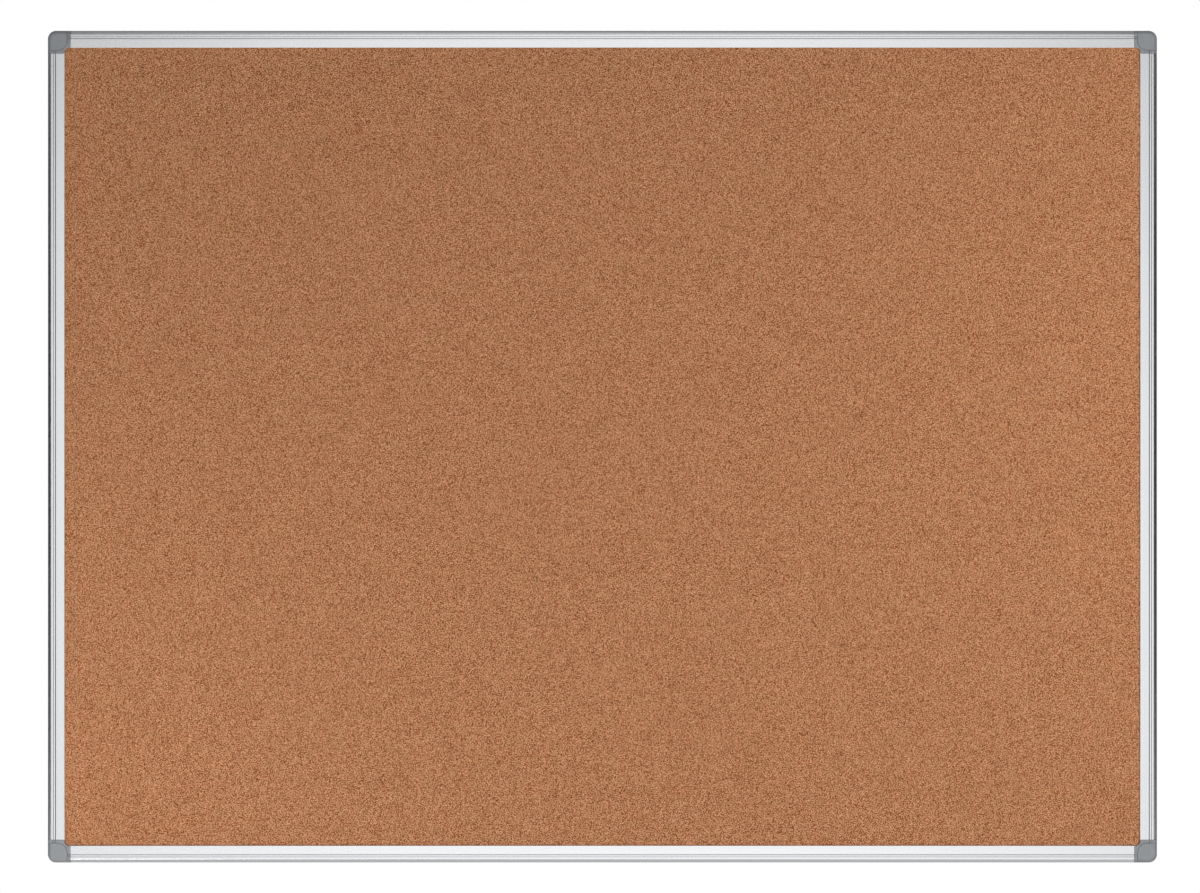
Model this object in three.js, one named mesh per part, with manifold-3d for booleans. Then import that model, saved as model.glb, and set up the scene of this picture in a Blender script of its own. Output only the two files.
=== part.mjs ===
// Wall-hung cork notice board: a glued panel in four lengths of one hollow aluminium extrusion,
// joined by four plastic corners, each with a press-on cap over its wall screw.
// Millimetres, +X to the right, +Z up, the cork faces -Y. The origin is the middle of the board's
// outline on the wall plane, so the board fills y from -boardDepth to 0.

import * as THREE from "three";
import { mergeVertices } from "three/addons/utils/BufferGeometryUtils.js";
import Module from "manifold-3d";

const wasm = await Module();
wasm.setup();

// Driving dimensions of the whole board
const boardWidth = 1200;
const boardHeight = 900;
const boardDepth = 14;
const faceWidth = 19; // the frame's face, from the outer edge to the cork
const cornerSize = 25; // a corner's side, from the outer edge to the rail's end
const cornerRadius = 9; // of the board's outline, seen from the front
const fitGap = 0.3; // between a moulding and what it plugs into or covers
const cutOverrun = 1; // how far a cutting shape runs past what it cuts

// The rail's section, measured inwards from the outer edge and back from the front face
const rail = {
  edgeRadius: 4.7,
  rearEdgeRadius: 1,
  noseRadius: 0.6,
  outerGrooveStart: 6.3,
  outerGrooveWidth: 0.8,
  outerGrooveDepth: 0.5,
  innerGrooveStart: 8.5,
  innerGrooveWidth: 1,
  innerGrooveDepth: 0.9,
  grooveSlopeShare: 0.25,
  lipThickness: 1.6,
  frontWall: 1.9,
  sideWall: 1.3,
  webWall: 1.2,
  webFace: 11, // where the panel's channel starts
  rearLipReach: 17,
  rearLipThickness: 1.2,
  chamberRadius: 2.4,
  screwChannelStart: 1.6,
  screwChannelWidth: 7.4,
  screwChannelDepth: 2,
  rearWall: 1.2,
};
const chamberRear = boardDepth - rail.screwChannelDepth - rail.rearWall;
const arcSteps = 5;

// The glued panel, from the front
const panel = {
  channelPlay: 0.2, // to the lip in front and to the rear lip behind
  edgePlay: 0.6, // to the rails' webs
  corkThickness: 2,
  glueLine: 0.1,
  backingThickness: 0.6,
};
const panelFront = rail.lipThickness + panel.channelPlay;
const panelBack = boardDepth - rail.rearLipThickness - panel.channelPlay;

// The press-on cap
const cap = {
  reach: 21.4,
  innerRadius: 10,
  thickness: 1.8,
  skirtThickness: 1.8,
  skirtDepth: 7,
  pegRadius: 1.9,
  pegLength: 6,
  pegTipChamfer: 0.6,
  pegAlong: 16.4, // along the arm from the outer corner
  pegAcross: 5.6,
};
const capFitGap = 0.25;

// The corner moulding under the cap
const base = {
  filletRadius: 4, // round the cork's corner
  rearFilletRadius: 8,
  filletRoot: 1,
  infillWall: 0.5, // beyond the cap's inner corner
  wellInset: 10, // the wall screw's place from both outer edges
  wellRadius: 4.3,
  wellDepth: 9,
  wallScrewHoleRadius: 2.75,
  socketSpare: 0.5, // depth of a peg's socket past the peg
  legLength: 34,
  legTipLength: 4,
  legTipInset: 0.8,
  rearPocketStart: 13.6,
  rearPocketLength: 8.4,
  rearPocketMargin: 2.4,
  rearPocketWidth: 6.2,
  rearPocketDepth: 3.6,
  corePocketLength: 9,
  corePocketWall: 1.4,
  corePocketDepth: 5.6,
  corePocketToScrew: 3.2,
};

// The screw that holds a rail on a corner's leg, a flat wafer head
const screw = {
  inset: 45, // from the board's outer corner, along the rail
  across: rail.screwChannelStart + rail.screwChannelWidth / 2,
  headRadius: 3.2,
  headHeight: 1.3,
  headRimHeight: 0.5,
  shankRadius: 1.45,
  length: 8,
  pointLength: 2,
  pointRadius: 0.3,
  recessLength: 3.4,
  recessWidth: 0.8,
  recessDepth: 0.8,
};
const screwSeat = boardDepth - rail.screwChannelDepth;
const roundSegments = 20;

// Finishes
const satinAluminium = new THREE.MeshStandardMaterial({ color: 0xd9dbde, roughness: 0.35, metalness: 1 });
const greyPlastic = new THREE.MeshStandardMaterial({ color: 0x8f9194, roughness: 0.6, metalness: 0 });
const fineCork = new THREE.MeshStandardMaterial({ color: 0xab7653, roughness: 0.95, metalness: 0 });
const woodFibre = new THREE.MeshStandardMaterial({ color: 0x8a6a48, roughness: 0.95, metalness: 0 });
const kraftPaper = new THREE.MeshStandardMaterial({ color: 0xb4946c, roughness: 0.9, metalness: 0 });
const zincSteel = new THREE.MeshStandardMaterial({ color: 0xb9bdc2, roughness: 0.3, metalness: 1 });

// Closed geometry to solid and back
function solidOf(geometry) {
  const bare = geometry.clone();
  bare.deleteAttribute("normal");
  bare.deleteAttribute("uv");
  const merged = mergeVertices(bare);
  const mesh = new wasm.Mesh({
    numProp: 3,
    vertProperties: merged.attributes.position.array,
    triVerts: merged.index.array,
  });
  return new wasm.Manifold(mesh);
}

function geometryOf(solid) {
  const mesh = solid.getMesh();
  const geometry = new THREE.BufferGeometry();
  geometry.setAttribute("position", new THREE.BufferAttribute(mesh.vertProperties, 3));
  geometry.setIndex(new THREE.BufferAttribute(mesh.triVerts, 1));
  return geometry;
}

// Shapes drawn in the plane of x and y and drawn out along z
function prism(shape, low, high) {
  const geometry = new THREE.ExtrudeGeometry(shape, {
    depth: high - low,
    bevelEnabled: false,
    curveSegments: arcSteps,
  });
  return geometry.translate(0, 0, low);
}

function block(lowX, highX, lowY, highY, lowZ, highZ) {
  const geometry = new THREE.BoxGeometry(highX - lowX, highY - lowY, highZ - lowZ);
  return geometry.translate((lowX + highX) / 2, (lowY + highY) / 2, (lowZ + highZ) / 2);
}

function rod(radius, x, y, lowZ, highZ) {
  const geometry = new THREE.CylinderGeometry(radius, radius, highZ - lowZ, roundSegments);
  return geometry.rotateX(Math.PI / 2).translate(x, y, (lowZ + highZ) / 2);
}

// The rail's section, x inwards from the outer edge and y back from the front face
function addGroove(shape, start, width, depth) {
  const slope = width * rail.grooveSlopeShare;
  shape.lineTo(start, 0);
  shape.lineTo(start + slope, depth);
  shape.lineTo(start + width - slope, depth);
  shape.lineTo(start + width, 0);
}

function frameSection(hasScrewChannel) {
  const { edgeRadius, rearEdgeRadius, noseRadius, screwChannelStart, screwChannelDepth } = rail;
  const channelEnd = screwChannelStart + rail.screwChannelWidth;
  const shape = new THREE.Shape();
  shape.moveTo(edgeRadius, 0);
  addGroove(shape, rail.outerGrooveStart, rail.outerGrooveWidth, rail.outerGrooveDepth);
  addGroove(shape, rail.innerGrooveStart, rail.innerGrooveWidth, rail.innerGrooveDepth);
  shape.lineTo(faceWidth - noseRadius, 0);
  shape.absarc(faceWidth - noseRadius, noseRadius, noseRadius, -Math.PI / 2, 0, false);
  shape.lineTo(faceWidth, rail.lipThickness);
  shape.lineTo(rail.webFace, rail.lipThickness);
  shape.lineTo(rail.webFace, boardDepth - rail.rearLipThickness);
  shape.lineTo(rail.rearLipReach, boardDepth - rail.rearLipThickness);
  shape.lineTo(rail.rearLipReach, boardDepth);
  if (hasScrewChannel) {
    shape.lineTo(channelEnd, boardDepth);
    shape.lineTo(channelEnd, boardDepth - screwChannelDepth);
    shape.lineTo(screwChannelStart, boardDepth - screwChannelDepth);
    shape.lineTo(screwChannelStart, boardDepth);
  }
  shape.lineTo(rearEdgeRadius, boardDepth);
  shape.absarc(rearEdgeRadius, boardDepth - rearEdgeRadius, rearEdgeRadius, Math.PI / 2, Math.PI, false);
  shape.lineTo(0, edgeRadius);
  shape.absarc(edgeRadius, edgeRadius, edgeRadius, Math.PI, 1.5 * Math.PI, false);
  return shape;
}

// The rail's hollow, which a corner's leg fills with a clearance all round
function chamberSection(clearance) {
  const left = rail.sideWall + clearance;
  const right = rail.webFace - rail.webWall - clearance;
  const front = rail.frontWall + clearance;
  const rear = chamberRear - clearance;
  const radius = rail.chamberRadius;
  const shape = new THREE.Shape();
  shape.moveTo(left + radius, front);
  shape.lineTo(right, front);
  shape.lineTo(right, rear);
  shape.lineTo(left, rear);
  shape.lineTo(left, front + radius);
  shape.absarc(left + radius, front + radius, radius, Math.PI, 1.5 * Math.PI, false);
  return shape;
}

// A rail lies along z, with its middle at zero
function buildRail(boardLength) {
  const length = boardLength - 2 * (cornerSize + fitGap);
  const section = frameSection(true);
  section.holes.push(chamberSection(0));
  let solid = solidOf(prism(section, -length / 2, length / 2));
  for (const side of [-1, 1]) {
    const hole = rod(screw.shankRadius + fitGap, 0, 0, chamberRear - cutOverrun, screwSeat + cutOverrun);
    hole.rotateX(-Math.PI / 2).translate(screw.across, 0, side * (boardLength / 2 - screw.inset));
    solid = solid.subtract(solidOf(hole));
  }
  return geometryOf(solid);
}

// The corners' own frame: x and y inwards from the two outer edges, z back from the front face
const alongX = new THREE.Matrix4().makeBasis(
  new THREE.Vector3(0, 1, 0),
  new THREE.Vector3(0, 0, 1),
  new THREE.Vector3(1, 0, 0),
);

function drawnAlongX(section, from, to) {
  return solidOf(prism(section, from, to).applyMatrix4(alongX));
}

function drawnAlongY(section, from, to) {
  return solidOf(prism(section, -to, -from).rotateX(Math.PI / 2));
}

// The outline of the corner's outer edges, set in from them by an even distance
function outerOutline(inset) {
  const reach = cornerSize + cutOverrun;
  const points = [new THREE.Vector2(inset, reach)];
  const steps = 2 * arcSteps;
  for (let step = 0; step <= steps; step++) {
    const angle = Math.PI * (1 + step / steps / 2);
    const radius = cornerRadius - inset;
    const x = cornerRadius + radius * Math.cos(angle);
    const y = cornerRadius + radius * Math.sin(angle);
    points.push(new THREE.Vector2(x, y));
  }
  points.push(new THREE.Vector2(reach, inset));
  points.push(new THREE.Vector2(reach, reach));
  return points;
}

// The rail's rounded outer edge carried round the corner, as rings from front to rear
function outerEnvelope() {
  const rings = [];
  for (let step = 0; step <= arcSteps; step++) {
    const angle = (step / arcSteps) * (Math.PI / 2);
    const inset = rail.edgeRadius * (1 - Math.sin(angle));
    rings.push({ inset, depth: rail.edgeRadius * (1 - Math.cos(angle)) });
  }
  for (let step = 0; step <= arcSteps; step++) {
    const angle = (step / arcSteps) * (Math.PI / 2);
    const inset = rail.rearEdgeRadius * (1 - Math.cos(angle));
    rings.push({ inset, depth: boardDepth - rail.rearEdgeRadius * (1 - Math.sin(angle)) });
  }
  return solidOf(loft(rings.map(({ inset, depth }) => ({ outline: outerOutline(inset), depth }))));
}

function loft(rings) {
  const count = rings[0].outline.length;
  const last = (rings.length - 1) * count;
  const positions = rings.flatMap(({ outline, depth }) => outline.flatMap((point) => [point.x, point.y, depth]));
  const index = [];
  for (let ring = 0; ring < rings.length - 1; ring++) {
    for (let i = 0; i < count; i++) {
      const near = ring * count + i;
      const next = ring * count + ((i + 1) % count);
      index.push(near, next, next + count, near, next + count, near + count);
    }
  }
  for (const [a, b, c] of THREE.ShapeUtils.triangulateShape(rings[0].outline, [])) {
    index.push(a, c, b);
    index.push(a + last, b + last, c + last);
  }
  const geometry = new THREE.BufferGeometry();
  geometry.setAttribute("position", new THREE.Float32BufferAttribute(positions, 3));
  geometry.setIndex(index);
  return geometry;
}

const envelope = outerEnvelope();

// The cap's outline with its large inner corner; a clearance widens it for the seat it lies in
function capOutline(clearance) {
  const edge = cap.reach + clearance;
  const centre = cap.reach - cap.innerRadius;
  const shape = new THREE.Shape();
  shape.moveTo(-cutOverrun, -cutOverrun);
  shape.lineTo(edge, -cutOverrun);
  shape.lineTo(edge, centre);
  shape.absarc(centre, centre, cap.innerRadius + clearance, 0, Math.PI / 2, false);
  shape.lineTo(-cutOverrun, edge);
  return shape;
}

function innerPrism(inset, low, high) {
  return solidOf(prism(new THREE.Shape(outerOutline(inset)), low, high));
}

const pegPlaces = [
  [cap.pegAlong, cap.pegAcross],
  [cap.pegAcross, cap.pegAlong],
];

function buildPeg(x, y) {
  const root = cap.thickness / 2;
  const tip = cap.thickness + cap.pegLength;
  const profile = [
    new THREE.Vector2(0, root),
    new THREE.Vector2(cap.pegRadius, root),
    new THREE.Vector2(cap.pegRadius, tip - cap.pegTipChamfer),
    new THREE.Vector2(cap.pegRadius - cap.pegTipChamfer, tip),
    new THREE.Vector2(0, tip),
  ];
  return solidOf(new THREE.LatheGeometry(profile, roundSegments).rotateX(Math.PI / 2).translate(x, y, 0));
}

function buildCap() {
  let solid = solidOf(prism(capOutline(0), -cutOverrun, cap.skirtDepth)).intersect(envelope);
  solid = solid.subtract(innerPrism(cap.skirtThickness, cap.thickness, cap.skirtDepth + cutOverrun));
  for (const [x, y] of pegPlaces) {
    solid = solid.add(buildPeg(x, y));
  }
  return geometryOf(solid);
}

// What the corner moulding leaves free for the cap's plate and skirt
function capSpace() {
  const plate = solidOf(prism(capOutline(capFitGap), -cutOverrun, cap.thickness + capFitGap));
  const deep = solidOf(prism(capOutline(capFitGap), -cutOverrun, cap.skirtDepth + capFitGap));
  const coreFront = -(cutOverrun + cutOverrun);
  const core = innerPrism(cap.skirtThickness + capFitGap, coreFront, cap.skirtDepth + cutOverrun);
  return plate.add(deep.subtract(core));
}

// A plate's concave fillet at the inner corner of two lips that reach the same distance
function lipFillet(reach, radius, low, high) {
  const root = reach - base.filletRoot;
  const far = reach + radius;
  const shape = new THREE.Shape();
  shape.moveTo(root, root);
  shape.lineTo(far, root);
  shape.lineTo(far, reach);
  shape.absarc(far, far, radius, 1.5 * Math.PI, Math.PI, true);
  shape.lineTo(root, far);
  return solidOf(prism(shape, low, high));
}

// The panel's corners are clipped to make room for this solid part behind the cap's inner corner
const capInnerCorner = cap.reach - cap.innerRadius * (1 - Math.SQRT1_2);
const infillEdge = 2 * (capInnerCorner + (capFitGap + base.infillWall) * Math.SQRT1_2);
const panelClipEdge = infillEdge + panel.edgePlay * Math.SQRT2;

function buildInfill() {
  const root = rail.webFace - base.filletRoot;
  const front = rail.lipThickness / 2;
  const back = boardDepth - rail.rearLipThickness / 2;
  const wedge = new THREE.Shape();
  wedge.moveTo(root, root);
  wedge.lineTo(infillEdge - root, root);
  wedge.lineTo(root, infillEdge - root);
  const square = solidOf(block(root, cornerSize, root, cornerSize, front, back));
  return solidOf(prism(wedge, front, back)).intersect(square);
}

// A leg in the rail's hollow, cored from the front on both sides of the screw
function buildLeg(drawn, placed) {
  const from = cornerSize - cutOverrun;
  const to = cornerSize + base.legLength;
  let solid = drawn(chamberSection(fitGap), from, to);
  solid = solid.add(drawn(chamberSection(fitGap + base.legTipInset), from, to + base.legTipLength));
  const low = rail.sideWall + fitGap + base.corePocketWall;
  const high = rail.webFace - rail.webWall - fitGap - base.corePocketWall;
  const front = rail.frontWall;
  for (const side of [-1, 1]) {
    const near = screw.inset + side * base.corePocketToScrew;
    const far = near + side * base.corePocketLength;
    const ends = [Math.min(near, far), Math.max(near, far)];
    solid = solid.subtract(placed(ends, [low, high], [front - cutOverrun, front + base.corePocketDepth]));
  }
  return solid;
}

function blockAlongX(along, across, depth) {
  return solidOf(block(...along, ...across, ...depth));
}

function blockAlongY(along, across, depth) {
  return solidOf(block(...across, ...along, ...depth));
}

function screwTip() {
  return screwSeat + fitGap - screw.length;
}

function buildCornerBase() {
  const arm = frameSection(false);
  let solid = drawnAlongX(arm, 0, cornerSize).add(drawnAlongY(arm, 0, cornerSize));
  solid = solid.add(buildInfill());
  solid = solid.add(lipFillet(faceWidth, base.filletRadius, 0, rail.lipThickness));
  const rearLip = boardDepth - rail.rearLipThickness;
  solid = solid.add(lipFillet(rail.rearLipReach, base.rearFilletRadius, rearLip, boardDepth));
  solid = solid.intersect(envelope).subtract(capSpace());
  const { wellInset, wellRadius, wellDepth } = base;
  solid = solid.subtract(solidOf(rod(wellRadius, wellInset, wellInset, -cutOverrun, wellDepth)));
  const through = rod(base.wallScrewHoleRadius, wellInset, wellInset, -cutOverrun, boardDepth + cutOverrun);
  solid = solid.subtract(solidOf(through));
  const socketEnd = cap.thickness + cap.pegLength + base.socketSpare;
  for (const [x, y] of pegPlaces) {
    solid = solid.subtract(solidOf(rod(cap.pegRadius + fitGap, x, y, -cutOverrun, socketEnd)));
  }
  const pocketAlong = [base.rearPocketStart, base.rearPocketStart + base.rearPocketLength];
  const pocketAcross = [base.rearPocketMargin, base.rearPocketMargin + base.rearPocketWidth];
  const pocketDepth = [boardDepth - base.rearPocketDepth, boardDepth + cutOverrun];
  solid = solid.subtract(blockAlongX(pocketAlong, pocketAcross, pocketDepth));
  solid = solid.subtract(blockAlongY(pocketAlong, pocketAcross, pocketDepth));
  solid = solid.add(buildLeg(drawnAlongX, blockAlongX)).add(buildLeg(drawnAlongY, blockAlongY));
  for (const [x, y] of screwPlaces) {
    const pilot = rod(screw.shankRadius + fitGap, x, y, screwTip() - fitGap, boardDepth);
    solid = solid.subtract(solidOf(pilot));
  }
  return geometryOf(solid);
}

const screwPlaces = [
  [screw.inset, screw.across],
  [screw.across, screw.inset],
];

// A screw along z, its head to the rear
function buildScrew() {
  const seat = screwSeat + fitGap;
  const top = seat + screw.headHeight;
  const tip = screwTip();
  const profile = [
    new THREE.Vector2(0, tip),
    new THREE.Vector2(screw.pointRadius, tip),
    new THREE.Vector2(screw.shankRadius, tip + screw.pointLength),
    new THREE.Vector2(screw.shankRadius, seat),
    new THREE.Vector2(screw.headRadius, seat),
    new THREE.Vector2(screw.headRadius, seat + screw.headRimHeight),
    new THREE.Vector2((screw.headRadius + screw.recessLength / 2) / 2, top),
    new THREE.Vector2(0, top),
  ];
  let solid = solidOf(new THREE.LatheGeometry(profile, roundSegments).rotateX(Math.PI / 2));
  const long = screw.recessLength / 2;
  const short = screw.recessWidth / 2;
  const floor = top - screw.recessDepth;
  solid = solid.subtract(solidOf(block(-long, long, -short, short, floor, top + cutOverrun)));
  solid = solid.subtract(solidOf(block(-short, short, -long, long, floor, top + cutOverrun)));
  return geometryOf(solid);
}

// A sheet of the panel with clipped corners, its front face at the given distance behind the frame's
function buildSheet(front, back) {
  const inset = rail.webFace + panel.edgePlay;
  const right = boardWidth / 2 - inset;
  const top = boardHeight / 2 - inset;
  const clip = panelClipEdge - 2 * inset;
  const shape = new THREE.Shape();
  shape.moveTo(-right + clip, -top);
  shape.lineTo(right - clip, -top);
  shape.lineTo(right, -top + clip);
  shape.lineTo(right, top - clip);
  shape.lineTo(right - clip, top);
  shape.lineTo(-right + clip, top);
  shape.lineTo(-right, top - clip);
  shape.lineTo(-right, -top + clip);
  return prism(shape, -back, -front).rotateX(Math.PI / 2).translate(0, -boardDepth, 0);
}

// Assembly
const board = new THREE.Group();

function addPiece(parent, name, geometry, material) {
  const mesh = new THREE.Mesh(geometry, material);
  mesh.name = name;
  geometry.computeVertexNormals();
  parent.add(mesh);
  return mesh;
}

const corkBack = panelFront + panel.corkThickness;
const backingFront = panelBack - panel.backingThickness;
addPiece(board, "cork_sheet", buildSheet(panelFront, corkBack), fineCork);
const coreGeometry = buildSheet(corkBack + panel.glueLine, backingFront - panel.glueLine);
addPiece(board, "softboard_core", coreGeometry, woodFibre);
addPiece(board, "backing_sheet", buildSheet(backingFront, panelBack), kraftPaper);

// Quarter turns about the y axis, clockwise seen from the front
const rails = [
  { name: "rail_left", turns: 0, length: boardHeight, x: -boardWidth / 2, z: 0 },
  { name: "rail_top", turns: 1, length: boardWidth, x: 0, z: boardHeight / 2 },
  { name: "rail_right", turns: 2, length: boardHeight, x: boardWidth / 2, z: 0 },
  { name: "rail_bottom", turns: 3, length: boardWidth, x: 0, z: -boardHeight / 2 },
];
for (const { name, turns, length, x, z } of rails) {
  const mesh = addPiece(board, name, buildRail(length), satinAluminium);
  mesh.rotation.y = (turns * Math.PI) / 2;
  mesh.position.set(x, -boardDepth, z);
}

const corners = [
  { name: "top_left", turns: 0, x: -1, z: 1, rails: ["top", "left"] },
  { name: "top_right", turns: 1, x: 1, z: 1, rails: ["right", "top"] },
  { name: "bottom_right", turns: 2, x: 1, z: -1, rails: ["bottom", "right"] },
  { name: "bottom_left", turns: 3, x: -1, z: -1, rails: ["left", "bottom"] },
];
for (const corner of corners) {
  const place = new THREE.Group();
  place.position.set((corner.x * boardWidth) / 2, -boardDepth, (corner.z * boardHeight) / 2);
  place.rotation.y = (corner.turns * Math.PI) / 2;
  board.add(place);
  const moulding = new THREE.Group();
  moulding.rotation.x = -Math.PI / 2;
  place.add(moulding);
  addPiece(moulding, `corner_base_${corner.name}`, buildCornerBase(), greyPlastic);
  addPiece(moulding, `corner_cap_${corner.name}`, buildCap(), greyPlastic);
  corner.rails.forEach((railName, i) => {
    const mesh = addPiece(moulding, `screw_${corner.name}_in_${railName}_rail`, buildScrew(), zincSteel);
    mesh.position.set(...screwPlaces[i], 0);
  });
}

export default board;
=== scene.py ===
import math
import bmesh
import bpy
from mathutils import Matrix, Vector


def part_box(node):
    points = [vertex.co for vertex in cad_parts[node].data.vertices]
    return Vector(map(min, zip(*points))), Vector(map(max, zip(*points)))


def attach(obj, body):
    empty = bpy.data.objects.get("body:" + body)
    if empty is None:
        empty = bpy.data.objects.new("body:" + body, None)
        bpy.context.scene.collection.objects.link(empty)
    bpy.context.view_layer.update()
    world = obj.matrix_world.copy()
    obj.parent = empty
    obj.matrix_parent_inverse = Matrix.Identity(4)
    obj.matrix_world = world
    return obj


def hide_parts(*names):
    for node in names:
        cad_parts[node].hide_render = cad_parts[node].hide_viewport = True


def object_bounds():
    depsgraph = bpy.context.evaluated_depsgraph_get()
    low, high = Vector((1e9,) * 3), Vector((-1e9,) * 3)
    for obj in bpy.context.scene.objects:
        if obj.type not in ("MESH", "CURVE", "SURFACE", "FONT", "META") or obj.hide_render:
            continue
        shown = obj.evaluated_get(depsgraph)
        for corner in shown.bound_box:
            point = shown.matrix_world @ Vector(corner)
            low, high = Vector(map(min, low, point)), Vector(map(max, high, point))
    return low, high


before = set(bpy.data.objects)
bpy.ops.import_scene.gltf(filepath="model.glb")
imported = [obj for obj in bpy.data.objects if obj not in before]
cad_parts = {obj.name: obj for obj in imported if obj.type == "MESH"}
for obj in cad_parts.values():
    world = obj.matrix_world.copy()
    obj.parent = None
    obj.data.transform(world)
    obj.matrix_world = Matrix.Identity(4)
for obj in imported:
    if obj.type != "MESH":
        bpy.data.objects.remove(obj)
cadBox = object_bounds()
print("frame loaded:", len(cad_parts), "nodes")

mm = 0.001
rightAngle = math.radians(90)
boardLow, boardHigh = cadBox
halfWidth = boardHigh.x
halfHeight = boardHigh.z
boardDepth = boardHigh.y - boardLow.y
frontY = boardLow.y
overrun = 1 * mm  # how far a cut or a joined piece runs past the face it meets

scene = bpy.context.scene
scene.view_settings.view_transform = "Standard"


# Mesh helpers. Sections and outlines are lists of (across, back) points in metres.

meshSet = dict(
    fewestSteps=2,
    stepsPerTurn=4,  # in a quarter turn, and more of them the larger its radius
    stepsPerMm=1.5,
    mergeDistance=0.002 * mm,
    flatAngle=math.radians(0.3),
)


def turnSteps(radius, angle):
    perTurn = meshSet["stepsPerTurn"] + radius / mm * meshSet["stepsPerMm"]
    return max(meshSet["fewestSteps"], round(abs(angle) / rightAngle * perTurn))


# Sines and cosines of even steps through a quarter turn
def quarterArc(steps):
    angles = [step / steps * rightAngle for step in range(steps + 1)]
    return [(math.sin(angle), math.cos(angle)) for angle in angles]


# An outline from corners of (across, back, radius)
def roundCorners(corners, evenSteps=None):
    points = []
    count = len(corners)
    for i, (x, y, radius) in enumerate(corners):
        here = Vector((x, y))
        if radius == 0:
            points.append(here)
            continue
        toLast = (Vector(corners[i - 1][:2]) - here).normalized()
        toNext = (Vector(corners[(i + 1) % count][:2]) - here).normalized()
        half = toLast.angle(toNext) / 2
        centre = here + (toLast + toNext).normalized() * radius / math.sin(half)
        first = here + toLast * radius / math.tan(half) - centre
        last = here + toNext * radius / math.tan(half) - centre
        sweep = first.angle_signed(last)
        steps = evenSteps or turnSteps(radius, sweep)
        for step in range(steps + 1):
            turn = Matrix.Rotation(-sweep * step / steps, 2)
            points.append(centre + turn @ first)
    return points


def rectangle(x0, x1, y0, y1, radius=0):
    return roundCorners([(x0, y0, radius), (x1, y0, radius), (x1, y1, radius), (x0, y1, radius)])


def newObject(name, data):
    thing = bpy.data.objects.new(name, data)
    scene.collection.objects.link(thing)
    return thing


def fillBetween(bm, loops):
    edges = []
    for loop in loops:
        edges += [bm.edges.get((vert, loop[(i + 1) % len(loop)])) for i, vert in enumerate(loop)]
    made = bmesh.ops.triangle_fill(bm, use_beauty=True, edges=edges)
    return [face for face in made["geom"] if isinstance(face, bmesh.types.BMFace)]


def finishMesh(bm):
    mesh = bpy.data.meshes.new("working")
    bm.to_mesh(mesh)
    bm.free()
    return mesh


# Skins closed rings of equal length into one closed body
def loftMesh(rings):
    bm = bmesh.new()
    rows = [[bm.verts.new(point) for point in ring] for ring in rings]
    count = len(rings[0])
    for a, b in zip(rows, rows[1:]):
        for i in range(count):
            j = (i + 1) % count
            bm.faces.new((a[i], a[j], b[j], b[i]))
    bm.faces.new(list(reversed(rows[0])))
    bm.faces.new(rows[-1])
    bmesh.ops.recalc_face_normals(bm, faces=bm.faces)
    return finishMesh(bm)


# A body whose outline changes with its depth, from steps of (the outline's measure, back)
def steppedMesh(outline, steps):
    return loftMesh([[Vector((p.x, p.y, back)) for p in outline(measure)] for measure, back in steps])


def prismMesh(points, low, high):
    return loftMesh([[Vector((p.x, p.y, back)) for p in points] for back in (low, high)])


def circlePoints(radius, x, y, steps):
    angles = [2 * math.pi * i / steps for i in range(steps)]
    return [Vector((x + radius * math.cos(a), y + radius * math.sin(a))) for a in angles]


# A turned solid from (radius, back) points, on an axis along the third coordinate
def turnedMesh(profile, x, y, steps):
    return steppedMesh(lambda radius: circlePoints(radius, x, y, steps), profile)


# The target's mesh with its modifiers applied, once the working objects are cleared away
def takeMesh(target, *helpers):
    depsgraph = bpy.context.evaluated_depsgraph_get()
    result = bpy.data.meshes.new_from_object(target.evaluated_get(depsgraph))
    for thing in (target, *helpers):
        data = thing.data
        bpy.data.objects.remove(thing)
        bpy.data.meshes.remove(data)
    return result


def combine(mesh, operation, *others):
    target = newObject("working", mesh)
    helpers = [newObject("helper", other) for other in others]
    for helper in helpers:
        step = target.modifiers.new("step", "BOOLEAN")
        step.operation = operation
        step.solver = "MANIFOLD"
        step.object = helper
    return takeMesh(target, *helpers)


def tidyMesh(mesh):
    bm = bmesh.new()
    bm.from_mesh(mesh)
    bmesh.ops.remove_doubles(bm, verts=bm.verts, dist=meshSet["mergeDistance"])
    bmesh.ops.dissolve_limit(bm, angle_limit=meshSet["flatAngle"], verts=bm.verts, edges=bm.edges)
    bmesh.ops.triangulate(bm, faces=[face for face in bm.faces if len(face.verts) > 4])
    bm.to_mesh(mesh)
    bm.free()


def shadeByAngle(mesh, degrees):
    bm = bmesh.new()
    bm.from_mesh(mesh)
    limit = math.radians(degrees)
    for face in bm.faces:
        face.smooth = True
    for edge in bm.edges:
        edge.smooth = len(edge.link_faces) == 2 and edge.calc_face_angle(0) < limit
    bm.to_mesh(mesh)
    bm.free()


# Flat faces keep their own normals, so only the roundings carry the turn
def holdFlats(mesh):
    target = newObject("working", mesh)
    flats = target.modifiers.new("flats", "WEIGHTED_NORMAL")
    flats.keep_sharp = True
    return takeMesh(target)


def finishPiece(name, mesh, material, body, node):
    piece = newObject(name, mesh)
    mesh.name = name
    mesh.materials.clear()
    mesh.materials.append(material)
    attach(piece, body)
    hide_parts(node)


# Material helpers. A socket takes a fixed value, or another node's output.

noiseSpan = (0.3, 0.7)  # where most of a noise's values lie
noiseMiddle = 0.5


def addNode(tree, kind, inputs, **settings):
    node = tree.nodes.new("ShaderNode" + kind)
    for name, value in settings.items():
        setattr(node, name, value)
    for key, value in inputs.items():
        socket = node.inputs[key]
        if isinstance(value, bpy.types.NodeSocket):
            tree.links.new(value, socket)
        else:
            socket.default_value = (*value, 1) if socket.type == "RGBA" else value
    return node


def emptyTree(owner):
    owner.use_nodes = True
    owner.node_tree.nodes.clear()
    return owner.node_tree


def newMaterial(name):
    material = bpy.data.materials.new(name)
    return material, emptyTree(material)


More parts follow.
